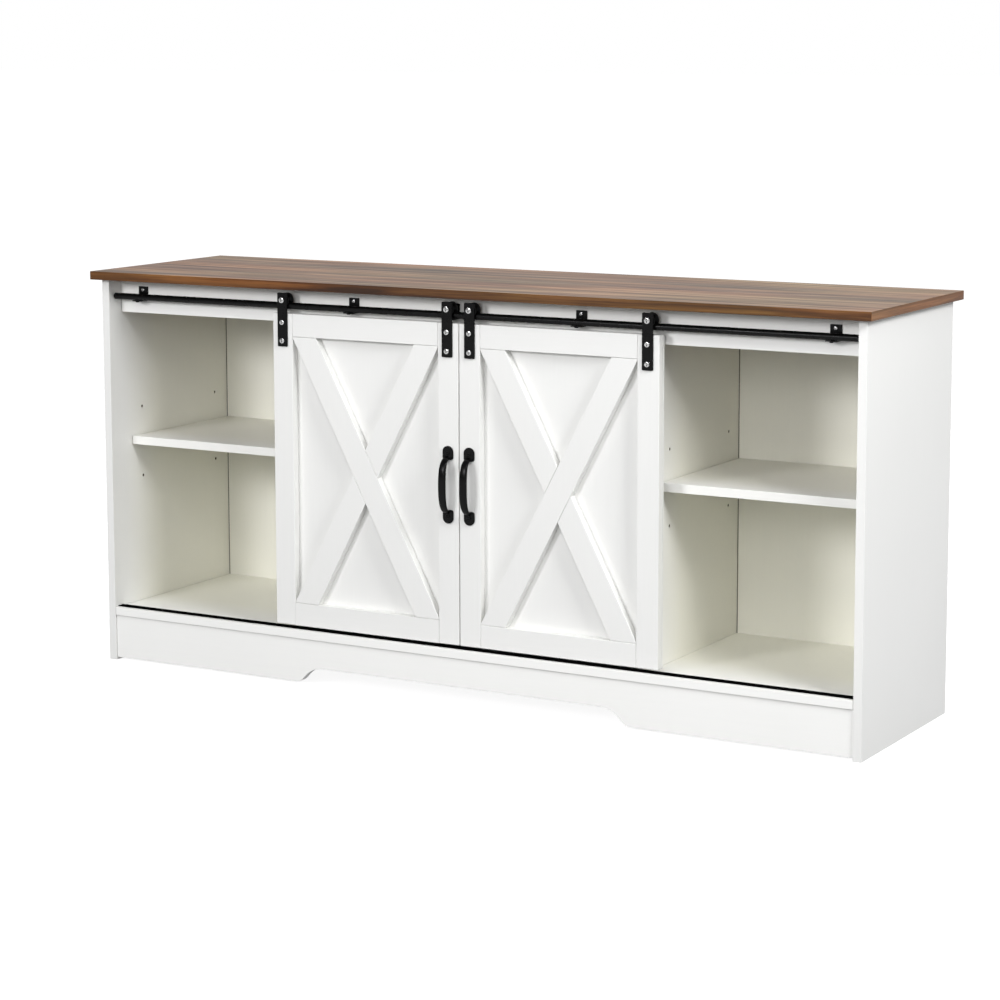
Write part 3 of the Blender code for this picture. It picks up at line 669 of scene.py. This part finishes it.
def add_screws(materials):
    """Visible screws in the straps, the brackets and under the bracket arms."""
    strap_low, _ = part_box("left_door_hanger_strap_left")
    strap_mesh = pan_head("strap_screw", 0.0046, 0.0025)
    for door in DOORS:
        for place in PLACES:
            centre = box_centre(f"{door}_hanger_strap_{place}")
            for label, height in STRAP_SCREW_HEIGHTS:
                spot = (centre.x, strap_low.y, strap_low.z + height)
                place_mesh(f"{door}_{place}_strap_screw_{label}", strap_mesh, materials["zinc"],
                           door, spot)
    plate_mesh = pan_head("plate_screw", 0.0030, 0.0018)
    under_mesh = pan_head("under_screw", 0.0032, 0.0014)
    for number in range(1, 6):
        low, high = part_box(f"rail_bracket_{number}")
        middle = (low.x + high.x) / 2
        plate_spot = (middle, high.y - BRACKET_STEEL, high.z - BRACKET_SCREW_DROP)
        place_mesh(f"bracket_screw_{number}", plate_mesh, materials["zinc"], "carcass",
                   plate_spot)
        under_spot = (middle, box_centre("rail_rod").y, low.z)
        place_mesh(f"rod_screw_{number}", under_mesh, materials["black"], "carcass",
                   under_spot, (math.pi / 2, 0.0, 0.0))


def grip_mesh(half_span, root, crown, widths, thicknesses):
    """The arched bar of a handle, centred on x = 0 and z = 0, with the door face at y = 0."""
    path_steps = 56
    section_steps = 24
    exponent = 2 / 2.6
    corner_power = 0.6
    slope_step = 0.002

    def path_point(share):
        """A point of the bar's middle line, from share 0 at the bottom to 1 at the top."""
        angle = math.pi * share
        side = math.copysign(abs(math.cos(angle)) ** exponent, math.cos(angle))
        forward = max(math.sin(angle), 0.0) ** exponent
        return Vector((0.0, -root - crown * forward, -half_span * side))

    mesh_data = bmesh.new()
    rings = []
    for step in range(path_steps + 1):
        share = step / path_steps
        ahead = path_point(min(share + slope_step, 1.0))
        behind = path_point(max(share - slope_step, 0.0))
        normal = Vector((1.0, 0.0, 0.0)).cross((ahead - behind).normalized())
        swell = math.sin(math.pi * share)
        half_width = (widths[0] + (widths[1] - widths[0]) * swell) / 2
        half_thick = (thicknesses[0] + (thicknesses[1] - thicknesses[0]) * swell) / 2
        loop = []
        for corner in range(section_steps):
            angle = 2 * math.pi * corner / section_steps
            across = math.copysign(abs(math.cos(angle)) ** corner_power, math.cos(angle))
            out = math.copysign(abs(math.sin(angle)) ** corner_power, math.sin(angle))
            offset = Vector((half_width * across, 0.0, 0.0)) + normal * half_thick * out
            loop.append(mesh_data.verts.new(path_point(share) + offset))
        rings.append(loop)
    for near, far in zip(rings, rings[1:]):
        for corner in range(section_steps):
            after = (corner + 1) % section_steps
            mesh_data.faces.new((near[corner], near[after], far[after], far[corner]))
    mesh_data.faces.new(rings[0])
    mesh_data.faces.new(rings[-1])
    return mesh_data


def handle_plates(half_height, half_width, inner, shoulder, thickness):
    """Both end plates: round outer ends, straight sides, rounded shoulders."""
    mesh_data = bmesh.new()
    for direction in (-1, 1):
        outline = arc((0.0, half_height - half_width), half_width, 0.0, math.pi, 24)
        edge = half_width - shoulder
        outline += arc((-edge, inner + shoulder), shoulder, math.pi, 1.5 * math.pi, 8)
        outline += arc((edge, inner + shoulder), shoulder, 1.5 * math.pi, 2 * math.pi, 8)
        back = [mesh_data.verts.new((x, 0.0, direction * z)) for x, z in outline]
        front = [mesh_data.verts.new((x, -thickness, direction * z)) for x, z in outline]
        count = len(outline)
        for step in range(count):
            after = (step + 1) % count
            mesh_data.faces.new((back[step], back[after], front[after], front[step]))
        mesh_data.faces.new(back)
        mesh_data.faces.new(front)
    return mesh_data


def add_handles(materials):
    """Cast pulls: plates and grip remeshed into one smooth skin."""
    low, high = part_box("left_door_handle")
    half_height = (high.z - low.z) / 2
    half_width = (high.x - low.x) / 2
    plate = HANDLE_PLATE
    end_thickness, middle_thickness = 0.0058, 0.0072
    end_width, middle_width = 0.009, 0.0135
    grip_half_span = 0.0455
    plate_inner, shoulder = 0.0425, 0.0045
    crown = (high.y - low.y) - middle_thickness / 2 - plate / 2
    grip = grip_mesh(grip_half_span, plate / 2, crown, (end_width, middle_width),
                     (end_thickness, middle_thickness))
    plates = handle_plates(half_height, half_width, plate_inner, shoulder, plate)
    rough_mesh = combined(grip, plates, "UNION", "rough_handle")
    rough = bpy.data.objects.new("rough_handle", rough_mesh)
    bpy.context.scene.collection.objects.link(rough)
    skin = rough.modifiers.new("skin", "REMESH")
    skin.mode = "VOXEL"
    skin.voxel_size = HANDLE_VOXEL
    ease = rough.modifiers.new("ease", "SMOOTH")
    ease.factor = 0.5
    ease.iterations = 6
    graph = bpy.context.evaluated_depsgraph_get()
    mesh = bpy.data.meshes.new_from_object(rough.evaluated_get(graph))
    mesh.shade_smooth()
    mesh.materials.clear()
    bpy.data.objects.remove(rough, do_unlink=True)
    screw_mesh = pan_head("handle_screw", 0.0034, 0.0018)
    for door in DOORS:
        door_low, door_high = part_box(f"{door}_handle")
        centre = (door_low + door_high) / 2
        handle = place_mesh(f"{door}_pull", mesh, materials["gloss"], door,
                            (centre.x, door_high.y, centre.z))
        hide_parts(f"{door}_handle")
        for label, side in (("upper", 1), ("lower", -1)):
            spot = (centre.x, door_high.y - plate, centre.z + side * HANDLE_SCREW_OFFSET)
            place_mesh(f"{door}_pull_screw_{label}", screw_mesh, materials["black"], door,
                       spot)


# --- stage --------------------------------------------------------------------------------


def add_camera():
    """A long lens from the front right, slightly above the top."""
    data = bpy.data.cameras.new("camera")
    data.sensor_width = 36.0
    data.lens = 99.17
    data.shift_y = -0.100
    data.clip_start = 0.05
    data.clip_end = 200.0
    camera = bpy.data.objects.new("camera", data)
    bpy.context.scene.collection.objects.link(camera)
    angles = (29.8704, 7.6407, -0.1172)
    azimuth, elevation, roll = (math.radians(angle) for angle in angles)
    turn = Matrix.Rotation(azimuth, 4, "Z")
    tip = Matrix.Rotation(math.pi / 2 - elevation, 4, "X")
    spin = Matrix.Rotation(roll, 4, "Z")
    camera.matrix_world = Matrix.Translation((2.3366, -4.0989, 1.1368)) @ turn @ tip @ spin
    bpy.context.scene.camera = camera


def add_floor():
    """A plain white studio floor that glows, so that it stays white far away.

    It is left out of diffuse bounces, so the glow doesn't light the object.
    """
    half_size = 60.0
    mesh_data = bmesh.new()
    bmesh.ops.create_grid(mesh_data, x_segments=1, y_segments=1, size=half_size)
    floor = bpy.data.objects.new("floor", solid(mesh_data, "floor"))
    bpy.context.scene.collection.objects.link(floor)
    material, _, shader = start_material("floor_white", (0.30, 0.30, 0.30), 1.0, specular=0.0)
    shader.inputs["Emission Color"].default_value = (1.0, 1.0, 1.0, 1.0)
    shader.inputs["Emission Strength"].default_value = 0.9
    floor.data.materials.append(material)
    floor.visible_diffuse = False


def add_world():
    """White surroundings, bright behind the object and dim behind the viewer."""
    world = bpy.data.worlds.new("studio")
    world.use_nodes = True
    tree = world.node_tree
    direction = tree.nodes.new("ShaderNodeTexCoord").outputs["Generated"]
    split = tree.nodes.new("ShaderNodeSeparateXYZ")
    tree.links.new(direction, split.inputs["Vector"])
    upper = spread(tree, split.outputs["Y"], -1.0, 1.0, 0.13, 0.95)
    lower = calculate(tree, "LESS_THAN", split.outputs["Z"], 0.0)
    colour = mixed(tree, lower, upper, (0.16, 0.16, 0.16, 1.0))
    cool = mixed(tree, 1.0, colour, (0.97, 0.97, 0.99, 1.0), "MULTIPLY")
    seen = tree.nodes.new("ShaderNodeLightPath").outputs["Is Camera Ray"]
    surroundings = tree.nodes["Background"]
    tree.links.new(mixed(tree, seen, cool, (1.0, 1.0, 1.0, 1.0)), surroundings.inputs["Color"])
    bpy.context.scene.world = world


def add_lamp(name, location, aim, size, energy, colour=(1.0, 1.0, 1.0)):
    """A round softbox that points at a place."""
    softbox = bpy.data.lights.new(name, "AREA")
    softbox.shape = "DISK"
    softbox.size = size
    softbox.energy = energy
    softbox.color = colour
    lamp = bpy.data.objects.new(name, softbox)
    bpy.context.scene.collection.objects.link(lamp)
    lamp.visible_camera = False
    lamp.location = location
    direction = Vector(aim) - lamp.location
    lamp.rotation_euler = direction.to_track_quat("-Z", "Y").to_euler()


def add_light():
    """A key and two more softboxes in front, a fill from the right and a soft top light."""
    cool = (0.96, 0.96, 0.98)
    add_lamp("key", (-1.3, -4.0, 1.8), (0.0, 0.0, 0.4), 1.0, 79.0, cool)
    add_lamp("front", (1.2, -4.4, 1.7), (0.0, 0.0, 0.4), 1.8, 52.0, cool)
    add_lamp("high_key", (1.5, -3.4, 3.2), (0.0, 0.0, 0.4), 1.6, 37.0, cool)
    add_lamp("fill", (2.6, -1.0, 2.0), (0.3, 0.0, 0.35), 1.0, 62.0, (0.955, 0.96, 0.975))
    add_lamp("overhead", (0.0, 0.8, 3.2), (0.0, 0.0, 0.7), 2.0, 68.0, (0.96, 0.98, 1.08))
    bpy.context.scene.view_settings.view_transform = "Standard"


def main():
    """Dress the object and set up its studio."""
    materials = {
        "white_x": white_laminate("white_laminate_level", "X"),
        # A brighter copy of the white laminate for the carcass boards: painted light that makes
        # the kick board and lower front lighter.
        "brightened_carcass_x": white_laminate("white_laminate_carcass_brightened", "X", (0.870, 0.870, 0.840),
                                    painted_shade_lines=kick_board_shade),
        "white_z": white_laminate("white_laminate_upright", "Z"),
        "drilled": white_laminate("white_laminate_drilled", "Z", drilled=True),
        "sheet": white_laminate("white_sheet", "Z", painted_shade_lines=back_corner_shade),
        "brown": brown_woodgrain("brown_woodgrain_foil"),
        "black": black_powder_coat("black_powder_coat"),
        "gloss": black_powder_coat("black_gloss_coat", 0.20),
        "matt": black_powder_coat("black_matt_coat", 0.65, 0.0),
        "nylon": black_nylon("black_moulded_nylon"),
        "zinc": zinc_steel("bright_zinc"),
    }
    add_boards(materials)
    add_metalwork(materials)
    add_rod(materials)
    add_rollers(materials)
    add_screws(materials)
    add_handles(materials)
    add_camera()
    add_floor()
    add_world()
    add_light()


main()
